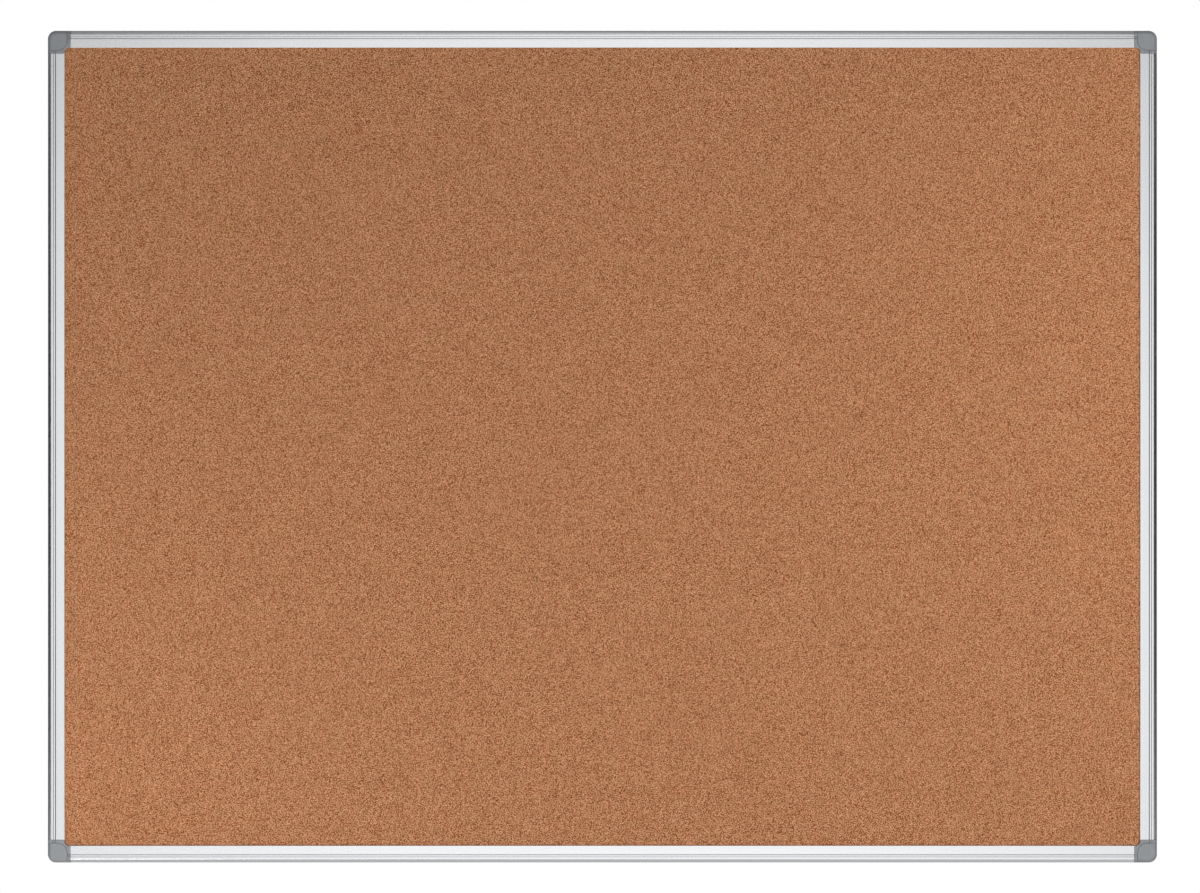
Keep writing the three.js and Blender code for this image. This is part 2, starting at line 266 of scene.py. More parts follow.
# The surface itself, from a look's own settings and the nodes for its colour, roughness and relief
def dressSurface(material, look, colour, roughness, height):
    tree = material.node_tree
    relief = {"Height": height, "Strength": look["bumpStrength"], "Distance": look["bumpDepth"]}
    shader = addNode(tree, "BsdfPrincipled", {
        "Base Color": colour,
        "Metallic": look["metallic"],
        "Roughness": roughness,
        "Specular IOR Level": look["specular"],
        "Normal": addNode(tree, "Bump", relief).outputs[0],
    })
    addNode(tree, "OutputMaterial", {"Surface": shader.outputs[0]})
    return material


def mathNode(tree, operation, *values):
    return addNode(tree, "Math", dict(enumerate(values)), operation=operation).outputs[0]


def product(tree, first, *others):
    for other in others:
        first = mathNode(tree, "MULTIPLY", first, other)
    return first


def rangeNode(tree, value, span, low, high, curve="LINEAR"):
    inputs = dict(enumerate((value, *span, low, high)))
    return addNode(tree, "MapRange", inputs, interpolation_type=curve).outputs[0]


def colourMix(tree, share, a, b, blend="MIX"):
    return addNode(tree, "Mix", {0: share, 6: a, 7: b}, data_type="RGBA", blend_type=blend).outputs[2]


# A plain colour made lighter and darker by a tone near one
def tonedColour(tree, colour, tone):
    grey = addNode(tree, "CombineColor", dict.fromkeys(range(3), tone))
    return colourMix(tree, 1, colour, grey.outputs[0], "MULTIPLY")


def objectPoint(tree, kind="POINT", mapping=None):
    coords = addNode(tree, "TexCoord", {})
    inputs = {"Vector": coords.outputs["Object"], **(mapping or {})}
    return addNode(tree, "Mapping", inputs, vector_type=kind).outputs[0]


def noiseNode(tree, point, size, detail=2, roughness=0.5, output="Fac"):
    inputs = {"Vector": point, "Scale": 1 / size, "Detail": detail, "Roughness": roughness}
    return addNode(tree, "TexNoise", inputs).outputs[output]


# A noise that swings about zero
def swingNode(tree, point, size):
    return mathNode(tree, "SUBTRACT", noiseNode(tree, point, size), noiseMiddle)


def rampNode(tree, value, stops):
    node = addNode(tree, "ValToRGB", {0: value})
    elements = node.color_ramp.elements
    for element, (position, colour) in zip(elements, (stops[0], stops[-1])):
        element.position = position
        element.color = (*colour, 1)
    for position, colour in stops[1:-1]:
        elements.new(position).color = (*colour, 1)
    return node.outputs[0]


# Cork: pressed granules of many browns, each darker at its rim, with the odd dark fleck of bark

corkLook = dict(
    granule=0.97 * mm,  # the face then cuts the cells through their middle, so its relief doesn't tint it
    raggedness=0.205 * mm,
    raggedDetail=3,
    tones=[
        (0.0, (0.115, 0.022, 0.001)),
        (0.25, (0.262, 0.08, 0.018)),
        (0.5, (0.409, 0.174, 0.07)),
        (0.75, (0.56, 0.28, 0.144)),
        (1.0, (0.735, 0.4, 0.236)),
    ],
    middleTone=1.005,
    granuleShare=0.4,
    rimSpan=(0.25, 0.7),
    rimShare=0.95,
    rimDrop=0.8,
    gritSize=0.4 * mm,
    gritShare=0.3,
    gritRise=0.5,
    patchSize=60 * mm,
    patchShare=0.05,
    bark=(0.07, 0.026, 0.012),
    barkShare=0.015,
    barkStrength=0.6,
    hueSize=14 * mm,
    hueSpan=(0.38, 0.62),
    warmTint=(1.014, 0.99, 0.985),
    greenTint=(0.986, 1.008, 0.99),
    metallic=0,
    roughness=(0.82, 0.96),
    specular=0.2,
    bumpStrength=0.5,
    bumpDepth=0.2 * mm,
)


def makeCork():
    look = corkLook
    material, tree = newMaterial("pressed cork")
    point = objectPoint(tree)
    wander = noiseNode(tree, point, look["granule"], look["raggedDetail"], output="Color")
    push = (look["raggedness"],) * 3
    ragged = addNode(tree, "VectorMath", {0: wander, 1: push, 2: point}, operation="MULTIPLY_ADD")
    granules = addNode(tree, "TexVoronoi", {"Vector": ragged.outputs[0], "Scale": 1 / look["granule"]})
    chance = addNode(tree, "SeparateColor", {0: granules.outputs["Color"]}).outputs
    rim = rangeNode(tree, granules.outputs["Distance"], look["rimSpan"], 0, 1)
    grit = swingNode(tree, point, look["gritSize"])
    patches = swingNode(tree, point, look["patchSize"])
    darkest = look["middleTone"] - look["granuleShare"] / 2
    tone = mathNode(tree, "MULTIPLY_ADD", chance[0], look["granuleShare"], darkest)
    tone = mathNode(tree, "MULTIPLY_ADD", rim, -look["rimShare"], tone)
    tone = mathNode(tree, "MULTIPLY_ADD", grit, look["gritShare"], tone)
    tone = mathNode(tree, "MULTIPLY_ADD", patches, look["patchShare"], tone)
    bark = product(tree, mathNode(tree, "LESS_THAN", chance[2], look["barkShare"]), look["barkStrength"])
    colour = colourMix(tree, bark, rampNode(tree, tone, look["tones"]), look["bark"])
    hue = noiseNode(tree, point, look["hueSize"])
    hue = rangeNode(tree, hue, look["hueSpan"], 0, 1, "SMOOTHSTEP")
    tint = colourMix(tree, hue, look["greenTint"], look["warmTint"])
    colour = colourMix(tree, 1, colour, tint, "MULTIPLY")
    rough = rangeNode(tree, chance[1], (0, 1), *look["roughness"])
    height = mathNode(tree, "MULTIPLY_ADD", rim, -look["rimDrop"], chance[2])
    height = mathNode(tree, "MULTIPLY_ADD", grit, look["gritRise"], height)
    return dressSurface(material, look, colour, rough, height)


# Satin anodised aluminium, its extrusion streaks along the rail, with painted shade in the bottoms of its
# grooves

aluminiumLook = dict(
    colour=(0.9, 0.91, 0.925),
    # painted shade for the groove bottoms, darker on the left and right rails than on the top and bottom
    # ones
    grooveShadeColour={"x": (0.58, 0.58, 0.59), "z": (0.38, 0.38, 0.39)},
    grooveAcross=(5.2 * mm, 10.4 * mm),  # in from the outer edge, round both grooves
    grooveSpan=(0.12 * mm, 0.75 * mm),  # how far below the face the painted groove shade comes in
    grooveFloor=1.3 * mm,
    streakLength=160 * mm,
    streakWidth=0.35 * mm,
    streakDetail=4,
    streakHardness=0.6,
    streakTone=0.03,
    streakSpan=(0.25, 0.75),
    bandWidths=7,  # of a streak
    bandTone=0.985,
    cloudSize=90 * mm,
    cloudDetail=4,
    cloudRoughness=0.05,
    pitSize=0.5 * mm,
    pitDetail=3,
    pitShare=0.1,
    metallic=1,
    roughness=(0.17, 0.25),
    specular=0.5,
    bumpStrength=0.5,
    bumpDepth=0.004 * mm,
)


# Painted shade: one at the bottom of the two grooves, where little light comes in, and nothing on the
# face
def grooveShadeMask(tree, point, along, halfAcross):
    look = aluminiumLook
    place = addNode(tree, "SeparateXYZ", {0: point}).outputs
    side = mathNode(tree, "ABSOLUTE", place[2] if along == "x" else place[0])
    inwards = mathNode(tree, "SUBTRACT", halfAcross, side)
    behind = mathNode(tree, "SUBTRACT", place[1], frontY)
    first, last = look["grooveAcross"]
    return product(
        tree,
        rangeNode(tree, behind, look["grooveSpan"], 0, 1, "SMOOTHSTEP"),
        mathNode(tree, "GREATER_THAN", inwards, first),
        mathNode(tree, "LESS_THAN", inwards, last),
        mathNode(tree, "LESS_THAN", behind, look["grooveFloor"]),
    )


def makeAluminium(along, halfAcross):
    look = aluminiumLook
    material, tree = newMaterial("satin aluminium along " + along)
    point = objectPoint(tree)
    slow = look["streakWidth"] / look["streakLength"]
    drawn = objectPoint(tree, mapping={"Scale": (slow, 1, 1) if along == "x" else (1, 1, slow)})
    streaks = noiseNode(tree, drawn, look["streakWidth"], look["streakDetail"], look["streakHardness"])
    bands = noiseNode(tree, drawn, look["streakWidth"] * look["bandWidths"])
    clouds = noiseNode(tree, point, look["cloudSize"], look["cloudDetail"])
    pits = noiseNode(tree, point, look["pitSize"], look["pitDetail"])
    tone = mathNode(tree, "MULTIPLY_ADD", streaks, look["streakTone"], 1 - look["streakTone"])
    tone = product(tree, tone, rangeNode(tree, bands, noiseSpan, look["bandTone"], 1))
    # the groove bottoms take a painted shade in place of the plain colour
    paintedShade = grooveShadeMask(tree, point, along, halfAcross)
    plain = tonedColour(tree, look["colour"], tone)
    colour = colourMix(tree, paintedShade, plain, look["grooveShadeColour"][along])
    rough = rangeNode(tree, streaks, look["streakSpan"], *look["roughness"])
    rough = mathNode(tree, "MULTIPLY_ADD", clouds, look["cloudRoughness"], rough)
    height = mathNode(tree, "MULTIPLY_ADD", pits, look["pitShare"], streaks)
    return dressSurface(material, look, colour, rough, height)


# Moulded grey plastic with a fine spark-eroded grain

plasticLook = dict(
    colour=(0.306, 0.319, 0.333),
    flowSize=9 * mm,
    flowTone=(0.95, 1.05),
    grain=0.45 * mm,
    grainDetail=3,
    grainHardness=0.6,
    grainTone=(0.96, 1.04),
    metallic=0.6,
    roughness=(0.49, 0.61),
    specular=0.5,
    bumpStrength=0.5,
    bumpDepth=0.02 * mm,
)


def makePlastic():
    look = plasticLook
    material, tree = newMaterial("grained grey plastic")
    point = objectPoint(tree)
    grain = noiseNode(tree, point, look["grain"], look["grainDetail"], look["grainHardness"])
    flow = rangeNode(tree, noiseNode(tree, point, look["flowSize"]), noiseSpan, *look["flowTone"])
    tone = product(tree, flow, rangeNode(tree, grain, noiseSpan, *look["grainTone"]))
    rough = rangeNode(tree, grain, noiseSpan, *look["roughness"])
    return dressSurface(material, look, tonedColour(tree, look["colour"], tone), rough, grain)


# Zinc-plated screws, with the faint mottling of the plating

zincLook = dict(
    tones=[(0.3, (0.52, 0.54, 0.58)), (0.55, (0.62, 0.64, 0.67)), (0.8, (0.7, 0.7, 0.66))],
    mottle=1.4 * mm,
    mottleDetail=4,
    finerBy=6,
    metallic=1,
    roughness=(0.24, 0.42),
    specular=0.5,
    bumpStrength=0.3,
    bumpDepth=0.01 * mm,
)


def makeZinc():
    look = zincLook
    material, tree = newMaterial("zinc plating")
    point = objectPoint(tree)
    mottle = noiseNode(tree, point, look["mottle"], look["mottleDetail"])
    fine = noiseNode(tree, point, look["mottle"] / look["finerBy"])
    rough = rangeNode(tree, fine, noiseSpan, *look["roughness"])
    return dressSurface(material, look, rampNode(tree, mottle, look["tones"]), rough, fine)


# Brown kraft board on the back, with light and dark fibres

kraftLook = dict(
    colour=(0.45, 0.31, 0.17),
    lightFibre=(0.6, 0.45, 0.28),
    darkFibre=(0.25, 0.155, 0.075),
    fibreTurns=(0.2, 1.1, 1.9, 2.7),  # light and dark ones in turn
    fibreLength=7 * mm,
    fibreWidth=0.35 * mm,
    fibreSpan=(0.62, 0.7),
    fibreShare=0.55,
    cloudSize=60 * mm,
    cloudDetail=5,
    cloudTone=(0.93, 1.05),
    feltSize=2.2 * mm,
    feltDetail=4,
    feltTone=(0.93, 1.07),
    metallic=0,
    roughness=0.82,
    specular=0.25,
    bumpStrength=0.5,
    bumpDepth=0.06 * mm,
)


def fibreMask(tree, turn):
    look = kraftLook
    stretch = (look["fibreLength"] / look["fibreWidth"], 1, 1)
    point = objectPoint(tree, "TEXTURE", {"Rotation": (0, turn, 0), "Scale": stretch})
    fibres = noiseNode(tree, point, look["fibreWidth"], detail=1)
    fibres = rangeNode(tree, fibres, look["fibreSpan"], 0, 1, "SMOOTHSTEP")
    return product(tree, fibres, look["fibreShare"])


def makeKraft():
    look = kraftLook
    material, tree = newMaterial("kraft board")
    point = objectPoint(tree)
    clouds = noiseNode(tree, point, look["cloudSize"], look["cloudDetail"])
    felt = noiseNode(tree, point, look["feltSize"], look["feltDetail"])
    tone = rangeNode(tree, clouds, noiseSpan, *look["cloudTone"])
    tone = product(tree, tone, rangeNode(tree, felt, noiseSpan, *look["feltTone"]))
    colour = tonedColour(tree, look["colour"], tone)
    for i, turn in enumerate(look["fibreTurns"]):
        shade = look["darkFibre"] if i % 2 else look["lightFibre"]
        colour = colourMix(tree, fibreMask(tree, turn), colour, shade)
    return dressSurface(material, look, colour, look["roughness"], felt)


# Pressed wood fibre of the core

coreLook = dict(
    tones=[(0.3, (0.15, 0.08, 0.034)), (0.7, (0.36, 0.22, 0.11))],
    fibre=1.6 * mm,
    fibreDetail=5,
    fibreHardness=0.65,
    layering=(1, 3, 1),
    metallic=0,
    roughness=0.92,
    specular=0.2,
    bumpStrength=0.8,
    bumpDepth=0.2 * mm,
)


def makeFibreboard():
    look = coreLook
    material, tree = newMaterial("pressed wood fibre")
    point = objectPoint(tree, mapping={"Scale": look["layering"]})
    felt = noiseNode(tree, point, look["fibre"], look["fibreDetail"], look["fibreHardness"])
    return dressSurface(material, look, rampNode(tree, felt, look["tones"]), look["roughness"], felt)


corkMaterial = makeCork()
plasticMaterial = makePlastic()
zincMaterial = makeZinc()
kraftMaterial = makeKraft()
fibreMaterial = makeFibreboard()
railMaterials = {"x": makeAluminium("x", halfHeight), "z": makeAluminium("z", halfWidth)}
print("materials made:", len(bpy.data.materials))


# The rail's section, across from the outer edge and back from the front face

railSet = dict(
    faceWidth=19 * mm,
    edgeRadius=4.7 * mm,
    rearEdgeRadius=1 * mm,
    noseRadius=0.6 * mm,
    outerGroove=(6.3 * mm, 0.8 * mm, 0.5 * mm),  # start, width, depth
    innerGroove=(8.5 * mm, 1 * mm, 0.9 * mm),
    grooveSlopeShare=0.25,
    grooveRound=0.09 * mm,
    lipThickness=1.6 * mm,
    webFace=11 * mm,
    webWall=1.2 * mm,
    sideWall=1.3 * mm,
    frontWall=1.9 * mm,
    rearLipReach=17 * mm,
    rearLipThickness=1.2 * mm,
    channelStart=1.6 * mm,
    channelWidth=7.4 * mm,
    channelDepth=2 * mm,
    chamberRadius=2.4 * mm,
    chamberRear=10.8 * mm,
    softEdge=0.2 * mm,
    smoothBelow=24,  # degrees
)


def grooveCorners(start, width, depth):
    slope = width * railSet["grooveSlopeShare"]
    turn = railSet["grooveRound"]
    return [
        (start, 0, turn),
        (start + slope, depth, turn),
        (start + width - slope, depth, turn),
        (start + width, 0, turn),
    ]


def frameSection(hasChannel):
    s = railSet
    soft = s["softEdge"]
    corners = [(0, 0, s["edgeRadius"])]
    corners += grooveCorners(*s["outerGroove"])
    corners += grooveCorners(*s["innerGroove"])
    corners += [
        (s["faceWidth"], 0, s["noseRadius"]),
        (s["faceWidth"], s["lipThickness"], soft),
        (s["webFace"], s["lipThickness"], soft),
        (s["webFace"], boardDepth - s["rearLipThickness"], soft),
        (s["rearLipReach"], boardDepth - s["rearLipThickness"], soft),
        (s["rearLipReach"], boardDepth, soft),
    ]
    if hasChannel:
        channelEnd = s["channelStart"] + s["channelWidth"]
        floor = boardDepth - s["channelDepth"]
        corners += [
            (channelEnd, boardDepth, soft),
            (channelEnd, floor, soft),
            (s["channelStart"], floor, soft),
            (s["channelStart"], boardDepth, soft),
        ]
    corners.append((0, boardDepth, s["rearEdgeRadius"]))
    return roundCorners(corners)


def chamberSection(clearance):
    s = railSet
    left = s["sideWall"] + clearance
    right = s["webFace"] - s["webWall"] - clearance
    front = s["frontWall"] + clearance
    rear = s["chamberRear"] - clearance
    soft = s["softEdge"]
    return roundCorners([
        (left, front, s["chamberRadius"]),
        (right, front, soft),
        (right, rear, soft),
        (left, rear, soft),
    ])


screwSet = dict(
    inset=45 * mm,
    across=5.3 * mm,
    headRadius=3.2 * mm,
    headHeight=1.3 * mm,
    headEdge=0.1 * mm,
    rimHeight=0.5 * mm,
    rimInset=0.12 * mm,
    domeShare=0.8,
    crownDrop=0.06 * mm,
    shankRadius=1.45 * mm,
    threadRadius=1.62 * mm,
    length=8 * mm,
    pointLength=2 * mm,
    pointRadius=0.3 * mm,
    pitch=1.3 * mm,
    flankShare=0.2,
    recessLength=3.4 * mm,
    recessWidth=0.8 * mm,
    recessDepth=0.8 * mm,
    recessFloorShare=0.75,
    recessMouthShare=1.05,
    clearance=0.3 * mm,
    steps=48,
    holeSteps=24,
    pilotSteps=32,
    smoothBelow=35,
)
screwSeat = boardDepth - railSet["channelDepth"]
screwPlaces = [(screwSet["inset"], screwSet["across"]), (screwSet["across"], screwSet["inset"])]
holeRadius = screwSet["shankRadius"] + screwSet["clearance"]


# Rails, each with its own map for the finish

railMap = dict(
    lengthwise=(0.01, 0.99),
    around=[(0.01, 0.7), (0.72, 0.95)],  # the outside, then the hollow
    end=(0.02, 0.96),
    endSize=0.03,
    endStep=0.04,
    hole=(0.2, 0.965),
    holeSize=0.01,
)


def mapStrip(bm, bake, outline, near, far, band):
    left, right = railMap["lengthwise"]
    count = len(outline)
    sides = [(outline[(i + 1) % count] - outline[i]).length for i in range(count)]
    scale = (band[1] - band[0]) / sum(sides)
    walked = 0
    for i in range(count):
        j = (i + 1) % count
        face = bm.faces.new((near[i], near[j], far[j], far[i]))
        v0 = band[0] + scale * walked
        walked += sides[i]
        v1 = band[0] + scale * walked
        for loop, uv in zip(face.loops, ((left, v0), (left, v1), (right, v1), (right, v0))):
            loop[bake].uv = uv


def railMesh(length):
    outlines = [frameSection(True), chamberSection(0)]
    bm = bmesh.new()
    bake = bm.loops.layers.uv.new("OFBake")
    ends = []
    for end in (-length / 2, length / 2):
        ends.append([[bm.verts.new((p.x, p.y, end)) for p in outline] for outline in outlines])
    for outline, near, far, band in zip(outlines, *ends, railMap["around"]):
        mapStrip(bm, bake, outline, near, far, band)
    u, v = railMap["end"]
    size = railMap["endSize"]
    for side, loops in enumerate(ends):
        for face in fillBetween(bm, loops):
            for loop in face.loops:
                across = loop.vert.co.x / railSet["faceWidth"]
                back = loop.vert.co.y / boardDepth
                loop[bake].uv = (u + railMap["endStep"] * side + size * across, v + size * back)
    bmesh.ops.recalc_face_normals(bm, faces=bm.faces)
    return finishMesh(bm)


def holeCutter(low, high):
    mesh = turnedMesh([(holeRadius, low), (holeRadius, high)], 0, 0, screwSet["holeSteps"])
    bake = mesh.uv_layers.new(name="OFBake")
    u, v = railMap["hole"]
    size = railMap["holeSize"]
    for i, loop in enumerate(bake.data):
        loop.uv = (u + size * (i % 2), v + size * (i % 3))
    return mesh


# Each rail's side, and its direction from the board's middle
railSides = [("left", -1, 0), ("top", 0, 1), ("right", 1, 0), ("bottom", 0, -1)]


def buildRail(turns, side, x, z):
    node = "rail_" + side
    low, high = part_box(node)
    length = high.x - low.x if z else high.z - low.z
    toScrew = (halfWidth if z else halfHeight) - screwSet["inset"]
    holes = []
    for end in (-1, 1):
        hole = holeCutter(railSet["chamberRear"] - overrun, screwSeat + overrun)
        hole.transform(Matrix.Rotation(-rightAngle, 4, "X"))
        hole.transform(Matrix.Translation((screwSet["across"], 0, end * toScrew)))
        holes.append(hole)
    mesh = combine(railMesh(length), "DIFFERENCE", *holes)
    shadeByAngle(mesh, railSet["smoothBelow"])
    mesh = holdFlats(mesh)
    turn = Matrix.Rotation(rightAngle * turns, 4, "Y")
    mesh.transform(Matrix.Translation((x * halfWidth, frontY, z * halfHeight)) @ turn)
    material = railMaterials["x" if z else "z"]
    finishPiece("rail" + side.capitalize(), mesh, material, "board", node)


for turns, railSide in enumerate(railSides):
    buildRail(turns, *railSide)
print("rails made:", len(railSides))


# Corner mouldings and caps, drawn with x and y inwards from the outer edges and z back from the face

cornerSet = dict(
    size=25 * mm,
    radius=9 * mm,
    outlineSteps=28,
    edgeSteps=12,
    fitGap=0.3 * mm,
    filletRadius=4 * mm,
    rearFilletRadius=8 * mm,
    filletRoot=1 * mm,
    filletSteps=16,
    noseSteps=5,
    infillWall=0.5 * mm,
    wellInset=10 * mm,
    wellRadius=4.3 * mm,
    wellDepth=9 * mm,
    wellSteps=48,
    wallHoleRadius=2.75 * mm,
    wallHoleMouth=0.35 * mm,
    wallHoleSteps=40,
    socketSpare=0.5 * mm,
    seatChamfer=0.2 * mm,
    legLength=34 * mm,
    legTip=4 * mm,
    legTipInset=0.8 * mm,
    pocketAlong=(13.6 * mm, 22 * mm),
    pocketAcross=(2.4 * mm, 8.6 * mm),
    pocketDepth=3.6 * mm,
    pocketRadius=0.8 * mm,
    pocketMouth=0.3 * mm,
    pocketFloorInset=0.25 * mm,
    pocketFloorRise=0.3 * mm,
    corePocketLength=9 * mm,
    corePocketWall=1.4 * mm,
    corePocketDepth=5.6 * mm,
    corePocketToScrew=3.2 * mm,
    smoothBelow=28,
)

capSet = dict(
    reach=21.4 * mm,
    innerRadius=10 * mm,
    innerSteps=24,
    thickness=1.8 * mm,
    skirtThickness=1.8 * mm,
    skirtDepth=7 * mm,
    pegRadius=1.9 * mm,
    pegLength=6 * mm,
    pegChamfer=0.6 * mm,
    pegSteps=32,
    pegPlaces=[(16.4 * mm, 5.6 * mm), (5.6 * mm, 16.4 * mm)],
    fitGap=0.25 * mm,
    edgeRound=0.3 * mm,
    edgeSteps=4,
)


def outerOutline(inset):
    reach = cornerSet["size"] + overrun
    radius = cornerSet["radius"]
    turn = radius - inset
    points = [Vector((inset, reach))]
    for sine, cosine in quarterArc(cornerSet["outlineSteps"]):
        points.append(Vector((radius - turn * cosine, radius - turn * sine)))
    points.append(Vector((reach, inset)))
    points.append(Vector((reach, reach)))
    return points


def envelopeMesh():
    front = railSet["edgeRadius"]
    rear = railSet["rearEdgeRadius"]
    arc = quarterArc(cornerSet["edgeSteps"])
    steps = [(front * (1 - s), front * (1 - c)) for s, c in arc]
    steps += [(rear * (1 - c), boardDepth - rear * (1 - s)) for s, c in arc]
    return steppedMesh(outerOutline, steps)


def innerPrism(inset, low, high):
    return prismMesh(outerOutline(inset), low, high)


def capOutline(clearance):
    edge = capSet["reach"] + clearance
    far = -overrun
    inner = (edge, edge, capSet["innerRadius"] + clearance)
    return roundCorners([(far, far, 0), (edge, far, 0), inner, (far, edge, 0)], capSet["innerSteps"])


# The cap's plug is rounded over at its front edge, where it meets the seat's small chamfer
def capPlug(low, high):
    turn = capSet["edgeRound"]
    edge = [(-turn * (1 - s), turn * (1 - c)) for s, c in quarterArc(capSet["edgeSteps"])]
    return steppedMesh(capOutline, [(-turn, low), *edge, (0, high)])


def buildCap():
    c = capSet
    root = c["thickness"] / 2
    tip = c["thickness"] + c["pegLength"]
    chamfer = c["pegChamfer"]
    profile = [(c["pegRadius"], root), (c["pegRadius"], tip - chamfer), (c["pegRadius"] - chamfer, tip)]
    pegs = [turnedMesh(profile, x, y, c["pegSteps"]) for x, y in c["pegPlaces"]]
    hollow = innerPrism(c["skirtThickness"], c["thickness"], c["skirtDepth"] + overrun)
    mesh = combine(capPlug(-overrun, c["skirtDepth"]), "INTERSECT", envelopeMesh())
    mesh = combine(mesh, "DIFFERENCE", hollow)
    return combine(mesh, "UNION", *pegs)


# The room that the cap takes up in the corner, with its clearance
def capSpace():
    c = capSet
    gap = c["fitGap"]
    chamfer = cornerSet["seatChamfer"]
    steps = [(gap + chamfer, -overrun), (gap + chamfer, 0), (gap, chamfer), (gap, c["thickness"] + gap)]
    deep = prismMesh(capOutline(gap), -overrun, c["skirtDepth"] + gap)
    core = innerPrism(c["skirtThickness"] + gap, -2 * overrun, c["skirtDepth"] + overrun)
    return combine(steppedMesh(capOutline, steps), "UNION", combine(deep, "DIFFERENCE", core))


def drawnAlongX(section, start, end):
    mesh = prismMesh(section, start, end)
    mesh.transform(Matrix(((0, 0, 1, 0), (1, 0, 0, 0), (0, 1, 0, 0), (0, 0, 0, 1))))
    return mesh


def drawnAlongY(section, start, end):
    mesh = prismMesh(section, -end, -start)
    mesh.transform(Matrix.Rotation(rightAngle, 4, "X"))
    return mesh


def filletOutline(reach, radius):
    root = reach - cornerSet["filletRoot"]
    far = reach + radius
    points = [Vector((root, root)), Vector((far, root))]
    for sine, cosine in quarterArc(cornerSet["filletSteps"]):
        points.append(Vector((far - radius * sine, far - radius * cosine)))
    points.append(Vector((root, far)))
    return points


# The fillet in the cork's corner carries the lip's rounded nose round the bend
def lipFillet():
    face = railSet["faceWidth"]
    nose = railSet["noseRadius"]
    steps = [(face - nose * (1 - s), nose * (1 - c)) for s, c in quarterArc(cornerSet["noseSteps"])]
    steps.append((face, railSet["lipThickness"]))
    return steppedMesh(lambda reach: filletOutline(reach, cornerSet["filletRadius"]), steps)


def rearFillet():
    outline = filletOutline(railSet["rearLipReach"], cornerSet["rearFilletRadius"])
    return prismMesh(outline, boardDepth - railSet["rearLipThickness"], boardDepth)


def infillMesh():
    c = cornerSet
    diagonal = math.sqrt(0.5)
    reach = capSet["reach"] - capSet["innerRadius"] * (1 - diagonal)
    edge = 2 * (reach + (capSet["fitGap"] + c["infillWall"]) * diagonal)
    root = railSet["webFace"] - c["filletRoot"]
    size = c["size"]
    outline = [(root, root), (size, root), (size, edge - size), (edge - size, size), (root, size)]
    front = railSet["lipThickness"] / 2
    rear = boardDepth - railSet["rearLipThickness"] / 2
    return prismMesh([Vector(point) for point in outline], front, rear)


def legMesh(drawn, alongX):
    c = cornerSet
    gap = c["fitGap"]
    start = c["size"] - overrun
    end = c["size"] + c["legLength"]
    tip = drawn(chamberSection(gap + c["legTipInset"]), start, end + c["legTip"])
    mesh = combine(drawn(chamberSection(gap), start, end), "UNION", tip)
    low = railSet["sideWall"] + gap + c["corePocketWall"]
    high = railSet["webFace"] - railSet["webWall"] - gap - c["corePocketWall"]
    front = railSet["frontWall"]
    pockets = []
    for side in (-1, 1):
        near = screwSet["inset"] + side * c["corePocketToScrew"]
        far = near + side * c["corePocketLength"]
        along = sorted((near, far))
        outline = rectangle(*along, low, high) if alongX else rectangle(low, high, *along)
        pockets.append(prismMesh(outline, front - overrun, front + c["corePocketDepth"]))
    return combine(mesh, "DIFFERENCE", *pockets)


# A rear pocket with rounded corners and a small chamfer round its mouth
def pocketMesh(x, y):
    c = cornerSet
    floor = boardDepth - c["pocketDepth"]
    mouth = c["pocketMouth"]
    steps = [
        (-c["pocketFloorInset"], floor),
        (0, floor + c["pocketFloorRise"]),
        (0, boardDepth - mouth),
        (mouth, boardDepth),
        (mouth, boardDepth + overrun),
    ]
    radius = c["pocketRadius"]
    return steppedMesh(lambda by: rectangle(x[0] - by, x[1] + by, y[0] - by, y[1] + by, radius), steps)


def wallHole():
    c = cornerSet
    wide = c["wallHoleRadius"] + c["wallHoleMouth"]
    profile = [
        (c["wallHoleRadius"], 0),
        (c["wallHoleRadius"], boardDepth - c["wallHoleMouth"]),
        (wide, boardDepth),
        (wide, boardDepth + overrun),
    ]
    return turnedMesh(profile, c["wellInset"], c["wellInset"], c["wallHoleSteps"])


def buildCornerBase():
    c = cornerSet
    arm = frameSection(False)
    additions = [drawnAlongY(arm, 0, c["size"]), infillMesh(), lipFillet(), rearFillet()]
    mesh = combine(drawnAlongX(arm, 0, c["size"]), "UNION", *additions)
    mesh = combine(mesh, "INTERSECT", envelopeMesh())
    well = [(c["wellRadius"], -overrun), (c["wellRadius"], c["wellDepth"])]
    cutters = [capSpace(), turnedMesh(well, c["wellInset"], c["wellInset"], c["wellSteps"]), wallHole()]
    socketRadius = capSet["pegRadius"] + c["fitGap"]
    socketEnd = capSet["thickness"] + capSet["pegLength"] + c["socketSpare"]
    socket = [(socketRadius, -overrun), (socketRadius, socketEnd)]
    cutters += [turnedMesh(socket, x, y, capSet["pegSteps"]) for x, y in capSet["pegPlaces"]]
    along = c["pocketAlong"]
    across = c["pocketAcross"]
    cutters += [pocketMesh(along, across), pocketMesh(across, along)]
    mesh = combine(mesh, "DIFFERENCE", *cutters)
    mesh = combine(mesh, "UNION", legMesh(drawnAlongX, True), legMesh(drawnAlongY, False))
    tip = screwSeat - screwSet["length"]
    pilot = [(holeRadius, tip), (holeRadius, boardDepth)]
    pilots = [turnedMesh(pilot, x, y, screwSet["pilotSteps"]) for x, y in screwPlaces]
    return combine(mesh, "DIFFERENCE", *pilots)


# Screws, heads to the rear

